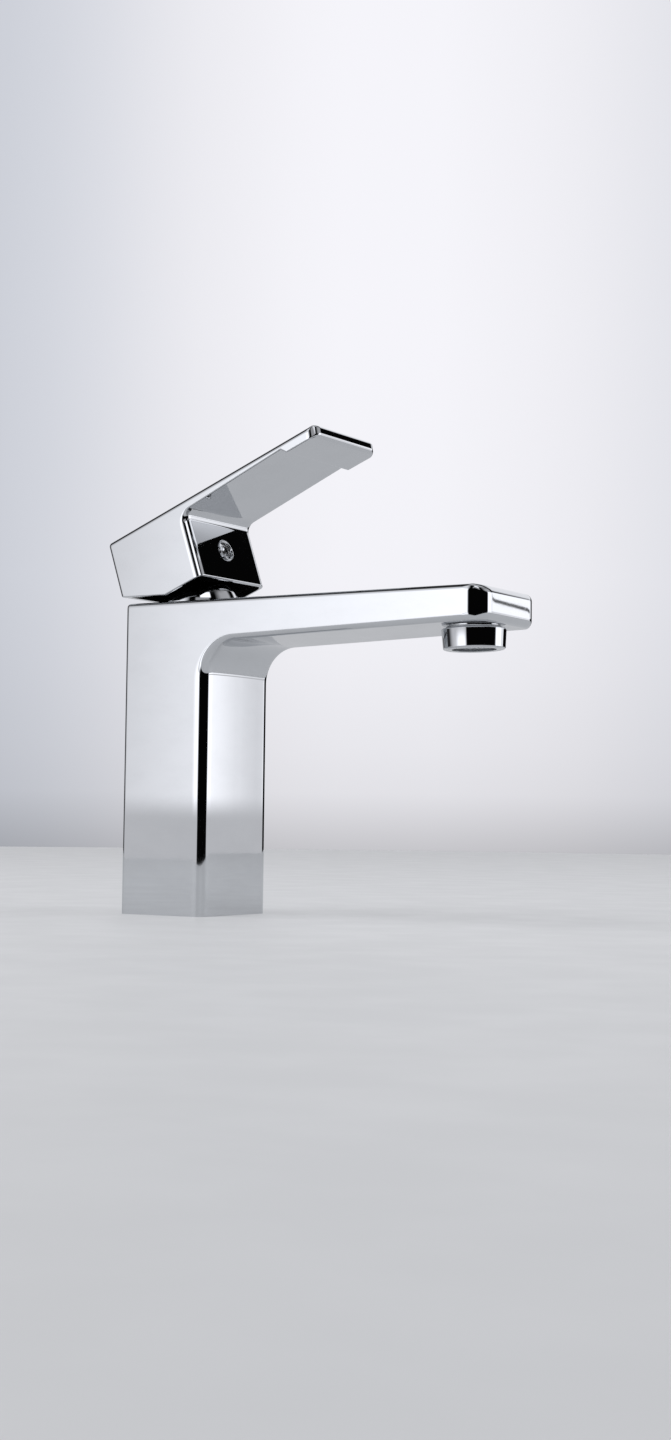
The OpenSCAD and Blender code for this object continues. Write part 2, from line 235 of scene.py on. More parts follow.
def roll_depth(roll, power, e):
    """How far in a rolled edge has drawn the outline, at a distance e from the side face."""
    if e >= roll:
        return 0.0
    return roll * (1 - (1 - ((roll - e) / roll) ** power) ** (1 / power))


def drawn_in(outline, depths):
    """Moves each side of a counterclockwise outline inwards by its own depth."""
    corners, lines = [], []
    n = len(outline)
    for i in range(n):
        a, b = Vector(outline[i][:2]), Vector(outline[(i + 1) % n][:2])
        direction = (b - a).normalized()
        inward = Vector((-direction.y, direction.x))
        lines.append((a + inward * depths[i], direction, inward))
    for i in range(n):
        (p, _, m), (q, v, _) = lines[i - 1], lines[i]
        corners.append(q + v * ((p - q).dot(m) / v.dot(m)))
    return corners


def rolled_prism(outline, width, crowns=None, steps=26):
    """A side view of (x, z, corner radius, chords, roll, power), as a solid whose faces roll off
    into its two sides: roll and power belong to the face from this corner to the next.
    crowns gives the height of the gentle crown across some of the faces, by their number."""
    crowns = crowns or {}
    reach = max(q[4] for q in outline)
    levels = [reach * (1 - math.cos(math.pi / 2 * k / steps)) for k in range(steps + 1)]
    if crowns:
        levels += [reach + (width / 2 - reach) * k / 8 for k in range(1, 8)]
    loops = []
    for e in levels:
        depths = [roll_depth(q[4], q[5], e) + crowns.get(i, 0) * (1 - 2 * e / width) ** 2
                  for i, q in enumerate(outline)]
        corners = drawn_in(outline, depths)
        shape = []
        for i, q in enumerate(outline):
            before, after = corners[i - 1], corners[(i + 1) % len(corners)]
            drawn = (depths[i - 1] + depths[i]) / 2
            hollow = (corners[i] - before).cross(after - corners[i]) < 0
            r = q[2] + drawn if hollow else max(q[2] - drawn, 0.45 * q[2])
            shape += corner(corners[i], before, after, r if q[2] else 0, q[3])
        loops.append((e, shape))
    bm = bmesh.new()
    rings = [[bm.verts.new((p.x, e - width / 2, p.y)) for p in shape] for e, shape in loops]
    rings += [[bm.verts.new((p.x, width / 2 - e, p.y)) for p in shape] for e, shape in reversed(loops)]
    bridge(bm, rings)
    bm.faces.new(rings[0][::-1])
    bm.faces.new(rings[-1])
    return bm


# RAISE turns the closed handle up to its rest pose, LEAN tips what is square to the stem, and
# AT_AERATOR and ALONG_X place shapes that are drawn upright at the origin.
RAISE = (Matrix.Translation((0, 0, PIVOT_Z)) @ Matrix.Rotation(math.radians(-HANDLE_LIFT), 4, "Y")
         @ Matrix.Translation((0, 0, -PIVOT_Z)))
LEAN = (Matrix.Translation((0, 0, PIVOT_Z)) @ Matrix.Rotation(math.radians(STEM_LEAN), 4, "Y")
        @ Matrix.Translation((0, 0, -PIVOT_Z)))
AT_AERATOR = Matrix.Translation((AERATOR_X, 0, AERATOR_Z)) @ Matrix.Rotation(-AERATOR_TILT, 4, "Y")
ALONG_X = Matrix.Rotation(math.pi / 2, 4, "Y")


# ---------------------------------------------------------------- node helpers
class Nodes:
    """A small helper that makes shader nodes and links them by name."""

    def __init__(self, tree):
        self.tree = tree
        tree.nodes.clear()

    def add(self, kind, inputs=None, **settings):
        node = self.tree.nodes.new(kind)
        for key, value in settings.items():
            setattr(node, key, value)
        for key, value in (inputs or {}).items():
            socket = node.inputs[key]
            if isinstance(value, bpy.types.NodeSocket):
                self.tree.links.new(value, socket)
            else:
                socket.default_value = value
        return node

    def math(self, operation, a, b=0.0):
        return self.add("ShaderNodeMath", {0: a, 1: b}, operation=operation).outputs[0]

    def ramp(self, value, stops):
        """A grey ramp from stops of (position, brightness)."""
        node = self.add("ShaderNodeValToRGB", {"Fac": value})
        elements = node.color_ramp.elements
        while len(elements) < len(stops):
            elements.new(0.5)
        for element, (position, brightness) in zip(elements, stops):
            element.position = position
            element.color = grey(brightness)
        return node.outputs["Color"]

    def span(self, value, low, high, to_low=0.0, to_high=1.0, kind="SMOOTHSTEP"):
        return self.add("ShaderNodeMapRange", {"Value": value, "From Min": low, "From Max": high,
                                               "To Min": to_low, "To Max": to_high},
                        interpolation_type=kind).outputs[0]

    def mix(self, factor, a, b, blend="MIX"):
        """Colour a where the factor is 0, and b where it is 1."""
        return self.add("ShaderNodeMix", {0: factor, 6: a, 7: b}, data_type="RGBA",
                        blend_type=blend).outputs[2]

    def noise(self, vector, scale, detail=3.0, roughness=0.5):
        return self.add("ShaderNodeTexNoise", {"Vector": vector, "Scale": scale, "Detail": detail,
                                               "Roughness": roughness}).outputs["Fac"]


def new_material(name):
    """A material with a Principled shader, and its coordinates in the object's own frame."""
    material = bpy.data.materials.new(name)
    material.use_nodes = True
    nodes = Nodes(material.node_tree)
    shader = nodes.add("ShaderNodeBsdfPrincipled")
    nodes.add("ShaderNodeOutputMaterial", {"Surface": shader.outputs[0]})
    position = nodes.add("ShaderNodeTexCoord").outputs["Object"]
    return material, nodes, shader, position


def link(nodes, value, socket):
    nodes.tree.links.new(value, socket)


def stretched(nodes, position, scale):
    return nodes.add("ShaderNodeMapping", {"Vector": position, "Scale": scale}).outputs[0]


def bump(nodes, shader, height, distance, strength=1.0):
    normal = nodes.add("ShaderNodeBump", {"Height": height, "Distance": distance, "Strength": strength})
    link(nodes, normal.outputs[0], shader.inputs["Normal"])


def grey(value):
    return (value, value, value, 1)


# ---------------------------------------------------------------- materials
def chrome(name, tint, smudge=0.5):
    """Polished plate: faint wipe marks and dried drops in the gloss, a trace of buffing wave.
    Where a mesh has the attribute that marks a hollow, it is rougher there, and a near-black base colour is
    painted in as the shade of the hollow."""
    material, nodes, shader, position = new_material(name)
    wipe = nodes.noise(stretched(nodes, position, (1, 1, 2)), 42, 5, 0.62)
    fine = nodes.noise(position, 900, 2)
    drops = nodes.add("ShaderNodeTexVoronoi", {"Vector": position, "Scale": 150},
                      feature="F1").outputs["Distance"]
    ring = nodes.math("MULTIPLY", nodes.span(drops, 0.10, 0.16), nodes.span(drops, 0.22, 0.16))
    patch = nodes.span(nodes.noise(position, 26, 2), 0.60, 0.70)
    marks = nodes.math("MULTIPLY", ring, patch)
    rough = nodes.math("ADD", nodes.span(wipe, 0.42, 0.72, 0.022, 0.022 + 0.05 * smudge),
                       nodes.math("MULTIPLY", marks, 0.10 * smudge))
    # mask of the handle's hollow: rougher skin there, and painted shade
    hollow_painted_shade = nodes.add("ShaderNodeAttribute", attribute_name="hollow_painted_shade").outputs["Fac"]
    skin = nodes.math("MULTIPLY", hollow_painted_shade, nodes.span(wipe, 0.3, 0.7, 0.4, 0.55))
    gloss = nodes.math("ADD", rough, nodes.span(fine, 0.55, 0.8, 0.0, 0.012))
    link(nodes, nodes.math("ADD", gloss, skin), shader.inputs["Roughness"])
    worn = tuple(c * 0.965 for c in tint)
    plate = nodes.mix(nodes.span(wipe, 0.35, 0.75), (*tint, 1), (*worn, 1))
    # where the hollow mask is set, a near-black base colour is painted in as shade
    link(nodes, nodes.mix(hollow_painted_shade, plate, (0.035, 0.035, 0.038, 1)), shader.inputs["Base Color"])
    shader.inputs["Metallic"].default_value = 1.0
    wave = nodes.noise(position, 34, 1)
    bump(nodes, shader, nodes.math("ADD", wave, nodes.math("MULTIPLY", fine, 0.006)), 0.00001, 0.2)
    return material


def turned_metal(name, tint, roughness, pitch=0.00045, axis_xy=(0.0, 0.0)):
    """Machined metal: fine turning rings about a vertical axis, with stain and handling marks."""
    material, nodes, shader, position = new_material(name)
    moved = nodes.add("ShaderNodeVectorMath", {0: position, 1: (-axis_xy[0], -axis_xy[1], 0)},
                      operation="ADD").outputs[0]
    rings = nodes.add("ShaderNodeTexWave", {"Vector": moved, "Scale": 0.05 / pitch, "Distortion": 1.2,
                                            "Detail": 2.0, "Detail Scale": 4.0},
                      wave_type="RINGS", rings_direction="Z").outputs["Fac"]
    stain = nodes.noise(position, 120, 4, 0.6)
    dark = tuple(c * 0.72 for c in tint)
    link(nodes, nodes.mix(nodes.span(stain, 0.35, 0.75), (*tint, 1), (*dark, 1)), shader.inputs["Base Color"])
    link(nodes, nodes.math("ADD", nodes.span(stain, 0.3, 0.7, roughness * 0.8, roughness * 1.3),
                           nodes.math("MULTIPLY", rings, 0.06)), shader.inputs["Roughness"])
    shader.inputs["Metallic"].default_value = 1.0
    bump(nodes, shader, rings, 0.00002, 0.6)
    return material


def rubber(name):
    """Matt black rubber with a patchy bloom."""
    material, nodes, shader, position = new_material(name)
    bloom = nodes.noise(position, 90, 4)
    grain = nodes.noise(position, 2200, 3)
    link(nodes, nodes.mix(nodes.span(bloom, 0.4, 0.8), (0.018, 0.018, 0.02, 1), (0.05, 0.05, 0.052, 1)),
         shader.inputs["Base Color"])
    link(nodes, nodes.span(bloom, 0.3, 0.7, 0.62, 0.8), shader.inputs["Roughness"])
    bump(nodes, shader, grain, 0.00004, 0.7)
    return material


def moulded(name, tint, roughness=0.42):
    """Moulded acetal: a faint flow mottling and a fine matt texture."""
    material, nodes, shader, position = new_material(name)
    flow = nodes.noise(stretched(nodes, position, (1, 1, 3)), 130, 3)
    grain = nodes.noise(position, 3000, 2)
    shadow = tuple(c * 0.9 for c in tint)
    link(nodes, nodes.mix(nodes.span(flow, 0.35, 0.7), (*tint, 1), (*shadow, 1)), shader.inputs["Base Color"])
    link(nodes, nodes.span(flow, 0.3, 0.7, roughness * 0.85, roughness * 1.15), shader.inputs["Roughness"])
    shader.inputs["Subsurface Weight"].default_value = 0.08
    shader.inputs["Subsurface Radius"].default_value = (0.002, 0.002, 0.0015)
    bump(nodes, shader, grain, 0.00001, 0.6)
    return material


def lapped_ceramic(name):
    """Pale alumina with fine lapping lines."""
    material, nodes, shader, position = new_material(name)
    cloud = nodes.noise(position, 200, 3)
    lap = nodes.noise(stretched(nodes, position, (1, 9, 1)), 900, 2)
    link(nodes, nodes.mix(nodes.span(cloud, 0.4, 0.7), (0.90, 0.89, 0.86, 1), (0.83, 0.82, 0.79, 1)),
         shader.inputs["Base Color"])
    link(nodes, nodes.span(lap, 0.3, 0.7, 0.10, 0.22), shader.inputs["Roughness"])
    bump(nodes, shader, lap, 0.000004, 0.5)
    return material


def crystal(name):
    """Clear moulded insert, with a little haze in its gloss."""
    material, nodes, shader, position = new_material(name)
    haze = nodes.noise(position, 700, 3)
    link(nodes, nodes.mix(nodes.span(haze, 0.4, 0.8), (0.96, 0.975, 0.99, 1), (0.90, 0.93, 0.96, 1)),
         shader.inputs["Base Color"])
    link(nodes, nodes.span(haze, 0.4, 0.8, 0.015, 0.06), shader.inputs["Roughness"])
    shader.inputs["Transmission Weight"].default_value = 1.0
    shader.inputs["IOR"].default_value = 1.5
    return material


PLATE = (0.64, 0.655, 0.675)
MATERIALS = {
    "chrome_body": chrome("chrome_body", PLATE, 0.15),
    "chrome_handle": chrome("chrome_handle", PLATE, 0.6),
    "chrome_dome": chrome("chrome_dome", PLATE, 0.3),
    "chrome_aerator": chrome("chrome_aerator", PLATE, 0.5),
    "chrome_bezel": chrome("chrome_bezel", PLATE, 0.3),
    "clear_index": crystal("clear_index"),
    "rubber_black": rubber("rubber_black"),
    "zinc_steel": turned_metal("zinc_steel", (0.62, 0.64, 0.66), 0.32, axis_xy=(STUD_X * MM, 0)),
    "bright_steel": turned_metal("bright_steel", (0.66, 0.67, 0.68), 0.22),
    "dark_steel": turned_metal("dark_steel", (0.09, 0.09, 0.095), 0.38),
    "plain_brass": turned_metal("plain_brass", (0.78, 0.58, 0.27), 0.26),
    "cartridge_plastic": moulded("cartridge_plastic", (0.86, 0.85, 0.80)),
    "white_ceramic": lapped_ceramic("white_ceramic"),
    "aerator_plastic": moulded("aerator_plastic", (0.62, 0.64, 0.66), 0.35),
}
SLOT_OF = {s["node"]: s["material_slot"] for s in frame["record"]["subparts"]}


def finish_piece(obj, body, *nodes, angle=30):
    """Shades a piece, gives it its node's material slot and hands it to its body."""
    slot = SLOT_OF[nodes[0]]
    obj.data.materials.clear()
    obj.data.materials.append(MATERIALS[slot])
    shade(obj, angle)
    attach(obj, body)
    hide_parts(*nodes)
    return obj


# ---------------------------------------------------------------- faucet body
# Width by which each face of the body rolls off into its sides, and the height of its crown.
COLUMN_ROLL = 6.0
TOP_ROLL = 2.4
REAR_ROLL = 2.2
UNDER_ROLL = 2.6
TIP_ROLL = 9.0
FRONT_CROWN = 0.45
TIP_CROWN = 0.2


def body_shell():
    """One chrome casting: column and spout, rolled edges outside, pocket and waterway inside."""
    outline = [(REAR_X, 0, 0, 0, 0, 2), (FRONT_X, 0, 0, 0, COLUMN_ROLL, 2.7),
               (FRONT_X, UNDER_ROOT_Z, SPOUT_FILLET, 36, UNDER_ROLL, 2),
               (TIP_X, UNDER_TIP_Z, 4.0, 16, TIP_ROLL, 2), (TIP_X, BODY_H, 4.2, 16, TOP_ROLL, 2.2),
               (REAR_X, BODY_H, 2, 10, REAR_ROLL, 2)]
    obj = add_object("body_shell", rolled_prism(outline, BODY_W, {1: FRONT_CROWN, 3: TIP_CROWN}))

    foot = plan_prism(rounded(plan_box(REAR_X + WALL, FRONT_X - WALL, BODY_W - 2 * WALL, 3, 3)), -1, CORE_Z)
    pocket = [(0, FLOOR_Z), (19, FLOOR_Z), (19, 107.5), (17.7, 107.5), (17.7, 130), (18.6, 130),
              (18.6, BODY_H + 1), (0, BODY_H + 1)]
    waterway = [(26, UNDER_ROOT_Z + 3.4, 2), (TIP_X - 7, UNDER_TIP_Z + 3.2, 2), (TIP_X - 7, BODY_H - 3.4, 2),
                (26, BODY_H - 3.4, 2)]
    bore = [(0, -3), (12, -3), (12, 6.6), (9, 6.6), (9, 9.5), (0, 9.5)]
    boolean(obj, "DIFFERENCE", foot, lathe([Vector(p) for p in pocket]),
            side_prism(rounded(waterway, 4), BODY_W - 3 * WALL),
            lathe([Vector(p) for p in bore], 96, AT_AERATOR))

    # the slanted passage from the pocket to the spout, and the stud's hole
    channel_from, channel_to = Vector((15, 0, FLOOR_Z + 2)), Vector((28, 0, 132))
    reach = channel_to - channel_from
    slant = Matrix.Translation(channel_from) @ reach.to_track_quat("Z", "Y").to_matrix().to_4x4()
    boolean(obj, "DIFFERENCE", cylinder(3.5, 0, reach.length, 48, slant),
            upright_hole(STUD_R, STUD_X, 0, CORE_Z - 1, CORE_Z + STUD_HOLD))
    # on each side, the tapped hole of a hose end and the port from it to the cartridge
    for side in (-1, 1):
        boolean(obj, "DIFFERENCE", upright_hole(4.5, 0.9, side * 7.2, CORE_Z - 1, 94),
                upright_hole(2.4, 2.5, side * 6.0, 93, FLOOR_Z + 1))
    return finish_piece(obj, "faucet", "faucet_body")


body_shell()


# ---------------------------------------------------------------- handle
# Width by which each edge of the handle rolls off into its sides.
HANDLE_TOP_ROLL = 2.3
HOUSING_ROLL = 4.0
HANDLE_REAR_ROLL = 2.0
HANDLE_UNDER_ROLL = 0.6
HOUSING_FOOT_ROLL = 0.5
LEVER_TIP_ROLL = 5.0


def handle_shell():
    """Housing, arm and finger pad in one chrome casting, hollow below, with the boss for the stem."""
    x0, top = HANDLE_REAR_X, HANDLE_TOP_Z
    kink_z = top - 36.35
    outline = [(x0, top, 2, 10, HANDLE_REAR_ROLL, 2), (x0 - 1.7, top - 26.7, 1, 6, HOUSING_FOOT_ROLL, 2),
               (x0 + 22, kink_z, 0, 0, HOUSING_FOOT_ROLL, 2), (x0 + 43.5, kink_z, 0.8, 6, HOUSING_ROLL, 2.2),
               (HOUSING_FRONT_X, top - 5, 5, 20, HANDLE_UNDER_ROLL, 2),
               (x0 + 102.7, top - 3, 0.6, 6, HANDLE_UNDER_ROLL, 2),
               (x0 + 105, top - 5.6, 0.8, 6, HANDLE_UNDER_ROLL, 2),
               (x0 + HANDLE_LEN - 1.1, top - 5.6, 2.4, 10, LEVER_TIP_ROLL, 2),
               (x0 + HANDLE_LEN, top, 1.5, 10, HANDLE_TOP_ROLL, 2)]
    obj = add_object("handle_shell", rolled_prism(outline, BODY_W))

    # the hollow, with a wider mouth that leaves a thin lip round it
    cavity = side_prism(rounded([(x0 + 1.1, top - 42, 0), (HOUSING_FRONT_X - 5.4, top - 42, 0),
                                 (HOUSING_FRONT_X - HOUSING_WALL, top - 4.5, 1.5),
                                 (x0 + HOUSING_WALL, top - 4.5, 1.5)], 5), BODY_W - 2 * HOUSING_WALL)
    mouth = plan_prism(rounded(plan_box(-19, 21.2, 49.2, 1, 3.4)), 140, kink_z + 2.6)
    boolean(obj, "DIFFERENCE", cavity, mouth)
    boolean(obj, "UNION", block((-7.5, -7.5, PIVOT_Z + 10.5), (7.5, 7.5, PIVOT_Z + 37.5), LEAN),
            block((4, -5.5, SCREW_Z - 6), (HOUSING_FRONT_X - 2, 5.5, SCREW_Z + 6)))
    boolean(obj, "DIFFERENCE", block((-4, -4, PIVOT_Z + 5), (4, 4, PIVOT_Z + 30.2), LEAN),
            cylinder(2.5, 0, HOUSING_FRONT_X + 2, 48, Matrix.Translation((0, 0, SCREW_Z)) @ ALONG_X),
            cylinder(5.15, 0, 10, 96, Matrix.Translation((FACE_X - INDEX_DEPTH, 0, SCREW_Z)) @ ALONG_X))
    # the attribute that marks the handle's unpolished hollow inside: the chrome is rougher there and painted
    # near-black as shade
    hollow_painted_shade = obj.data.attributes.new("hollow_painted_shade", "FLOAT", "FACE")
    for polygon in obj.data.polygons:
        x, y, z = polygon.center / MM
        inside = abs(y) < BODY_W / 2 - 1.3 and x0 + 0.5 < x < HOUSING_FRONT_X - 2.9 and z < top - 4
        deep = z > kink_z + 0.3 + max(0, (x0 + 22 - x) * 0.41)
        hollow_painted_shade.data[polygon.index].value = 1.0 if inside and deep else 0.0
    obj.data.transform(Matrix.Scale(MM, 4) @ RAISE @ Matrix.Scale(1 / MM, 4))
    return finish_piece(obj, "lever", "handle")


handle_shell()


# ---------------------------------------------------------------- turned chrome pieces
def sphere_arc(r, low, high, n=12):
    """Points of an outline on a sphere about the lift pivot, from one height above it to another."""
    first, last = math.asin(low / r), math.asin(high / r)
    angles = [first + (last - first) * k / n for k in range(n + 1)]
    return [(r * math.cos(t), PIVOT_Z + r * math.sin(t), 0) for t in angles]


def dome():
    """Ring of a sphere about the lift pivot: a polished band with a soft shoulder, a recessed
    upper zone under the handle, and a spigot down into the body."""
    outer, inner, recessed, top, shoulder = 19.05, 17.65, 18.2, BODY_H + 10.3 - PIVOT_Z, 7.6
    band = sphere_arc(outer, 1.0, shoulder)
    band[-1] = (*band[-1][:2], 0.6)
    spigot = [(16.8, BODY_H, 0), (16.8, 139.8, 0), (18.4, 139.8, 0), (18.4, 140.3, 0), (17.5, 140.3, 0),
              (17.5, 141.5, 0), (18.4, 141.5, 0), (18.4, BODY_H, 0)]
    outline = sphere_arc(inner, 1.6, top)[::-1] + spigot + band + sphere_arc(recessed, shoulder + 0.2, top)
    return finish_piece(add_object("dome_shell", lathe(rounded(outline, 8), 160)), "faucet", "dome_cap")


def aerator_ring():
    """Tapered chrome ring: plain neck, shadow gap, soft shoulders and a thin bottom lip."""
    low = -9.8
    outline = [(10.7, 5.0, 0), (10.7, low + 1.2, 0), (9.6, low + 0.4, 0), (9.6, low, 0.15),
               (10.9, low, 0.15), (11.4, low + 0.35, 0.15), (12.2, low, 0.3), (13.35, low, 0.75),
               (14.0, -0.7, 0.8), (11.5, -0.7, 0.2), (11.5, 0.3, 0), (12.0, 0.3, 0), (12.0, 5.0, 0.3)]
    return finish_piece(add_object("aerator_ring", lathe(rounded(outline, 8), 160, AT_AERATOR)),
                        "faucet", "aerator_shell")


def index_button():
    """Chrome bezel and a faceted clear insert, set in the housing's front face."""
    at_face = RAISE @ Matrix.Translation((FACE_X - INDEX_DEPTH, 0, SCREW_Z)) @ ALONG_X
    bezel = [(4.0, 0, 0), (5.15, 0, 0), (5.15, 2.75, 0.35), (4.55, 2.8, 0.2), (4.0, 2.3, 0.2)]
    finish_piece(add_object("index_ring", lathe(rounded(bezel, 6), 96, at_face)), "lever", "index_bezel")
    facets = lathe([Vector(p) for p in ((0, -1.9), (2.45, -1.9), (2.45, 0.02), (3.98, 0.02), (3.98, 1.7),
                                        (3.2, 2.25), (1.7, 2.6), (0, 2.65))], 12, at_face)
    finish_piece(add_object("index_crystal", facets), "lever", "index_lens", angle=8)


dome()
aerator_ring()
index_button()


# ---------------------------------------------------------------- fixings
def threaded_stud():
    """Steel stud with a rolled thread below the deck, a plain shank and chamfered ends."""
    pitch, depth, chamfer = 1.25, 0.62, 0.6
    z_end, z_thread, z_top = -58.0, -6.0, CORE_Z + STUD_HOLD
    around, steps = 36, 8                # points round the stud, and rows in one pitch

    def ring_at(z, radius_of):
        points = ((radius_of(i), 2 * math.pi * i / around) for i in range(around))
        return [bm.verts.new((STUD_X + r * math.cos(t), r * math.sin(t), z)) for r, t in points]

    rows = int((z_thread - z_end) / pitch * steps)
    bm = bmesh.new()
    rings = []
    for k in range(rows + 1):
        fade = min(1.0, k / (2 * steps), (rows - k) / (2 * steps))
        end_cut = chamfer * (1 - min(1.0, k / steps))

        def radius(i):
            phase = (k / steps - i / around) % 1.0
            groove = max(0.0, 1 - abs(phase - 0.5) / 0.42)
            return STUD_R - depth * groove * fade - end_cut

        rings.append(ring_at(z_end + k * pitch / steps, radius))
    rings.append(ring_at(z_top - chamfer, lambda i: STUD_R))
    rings.append(ring_at(z_top, lambda i: STUD_R - chamfer))
    bridge(bm, rings)
    bm.faces.new(rings[0][::-1])
    bm.faces.new(rings[-1])
    return finish_piece(add_object("threaded_stud", bm), "faucet", "mounting_stud", angle=50)


threaded_stud()

# CAD pieces that are shown as they are: a broken edge, smooth shading and their finish.
KEPT_EDGE = {"stud_nut": 0.35, "lock_nut": 0.3, "steel_washer": 0.25, "rubber_washer": 0.4, "turret": 0.3,
             "cartridge_housing": 0.3, "cartridge_base": 0.25, "disc_carrier": 0.25, "fixed_disc": 0.2,
             "moving_disc": 0.2, "stem": 0.25, "stem_pin": 0.2, "set_screw": 0.15, "aerator_washer": 0.1}
REPLACED = {"faucet_body", "handle", "dome_cap", "aerator_shell", "index_bezel", "index_lens",
            "mounting_stud"}
for node_name, obj in NODES.items():
    if node_name in REPLACED:
        continue
    obj.data.materials.clear()
    obj.data.materials.append(MATERIALS[SLOT_OF[node_name]])
    for polygon in obj.data.polygons:
        polygon.use_smooth = True
    if node_name in KEPT_EDGE:
        mod = obj.modifiers.new("broken_edge", "BEVEL")
        mod.width = KEPT_EDGE[node_name] * MM
        mod.segments = 3
        mod.limit_method = "ANGLE"
        mod.angle_limit = math.radians(40)
    mod = obj.modifiers.new("smooth_by_angle", "WEIGHTED_NORMAL")
    mod.keep_sharp = True


# ---------------------------------------------------------------- stage, light and camera
def floor():
    """A wide pale round floor at deck height, which ends a little past the camera."""
    centre = Matrix.Translation((-250, 400, 0))
    obj = add_object("studio_floor", cylinder(1450, -4, 0, 256, centre))
    material, nodes, shader, position = new_material("floor_paint")
    cloud = nodes.noise(position, 6, 3)
    link(nodes, nodes.mix(cloud, (0.235, 0.24, 0.25, 1), (0.25, 0.253, 0.26, 1)), shader.inputs["Base Color"])
    shader.inputs["Emission Color"].default_value = (0.95, 0.965, 1.0, 1)
    shader.inputs["Emission Strength"].default_value = 0.36
    link(nodes, nodes.span(nodes.noise(position, 30, 4), 0.3, 0.7, 0.5, 0.6), shader.inputs["Roughness"])
    shader.inputs["Specular IOR Level"].default_value = 0.08
    obj.data.materials.append(material)
    shade(obj)
    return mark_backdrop(obj)


def by_azimuth(nodes, azimuth, stops):
    """Brightness by compass direction: stops are (degrees from -180 to 180, brightness)."""
    spread = nodes.span(azimuth, -180, 180, kind="LINEAR")
    peak = max(value for _, value in stops)
    ramp = nodes.ramp(spread, [((angle + 180) / 360, value / peak) for angle, value in stops])
    return nodes.math("MULTIPLY", ramp, peak)


def window(nodes, value, low, high, soft):
    """1 between low and high, falling to 0 over soft degrees outside them."""
    return nodes.math("MULTIPLY", nodes.span(value, low - soft, low), nodes.span(value, high + soft, high))


# Degrees of azimuth and brightness of the soft panels, near the horizon and higher up.
BLACK = 0.002
LOW_PANELS = [(-180, 0.05), (-160, 0.02), (-148, 0.55), (-136, 0.85), (-129, 0.95), (-127.4, 1.15),
              (-126, 1.3), (-122, 1.5), (-117, 1.75), (-98, 1.75), (-93, 1.4), (-88, BLACK), (20, BLACK),
              (25, 1.75), (49, 1.7), (51.5, 1.5), (54, 1.25), (57.3, 1.0), (60, 1.1), (64, 1.5), (68, 1.3),
              (75, 1.15), (80, 0.02), (109, 0.02), (114, 1.0), (134, 0.9), (150, 0.2), (180, 0.05)]
HIGH_PANELS = [(-180, 0.02), (-158, 0.03), (-146, 0.6), (-125, 1.0), (-100, 1.1), (-90, 0.6), (-82, BLACK),
               (-5, BLACK), (15, 0.5), (46, 0.55), (55, BLACK), (68, BLACK), (76, 1.1), (130, 1.0),
               (150, 0.1), (180, 0.02)]
LIFT = (15, 18)                  # elevations between which the high panels take over from the low
NOTCH_AZIMUTH = (67, 108, 2)     # a dark gap low down, for the line along the column's far edge
# What the camera sees behind the object: a soft glow, duller to the left and near the floor.
BACKDROP_GLOW = [(-180, 0.6), (-150, 0.75), (-100, 0.85), (90, 0.78), (112, 0.78), (116, 0.88), (119.5, 0.93),
                 (123, 0.93), (127, 0.84), (130, 0.72), (132, 0.66), (140, 0.6), (180, 0.6)]
BACKDROP_RISE = [(0.0, 0.55), (0.07, 0.62), (0.10, 0.68), (0.17, 0.83), (0.25, 0.88), (0.4, 0.94),
                 (0.55, 0.98), (1.0, 1.0)]


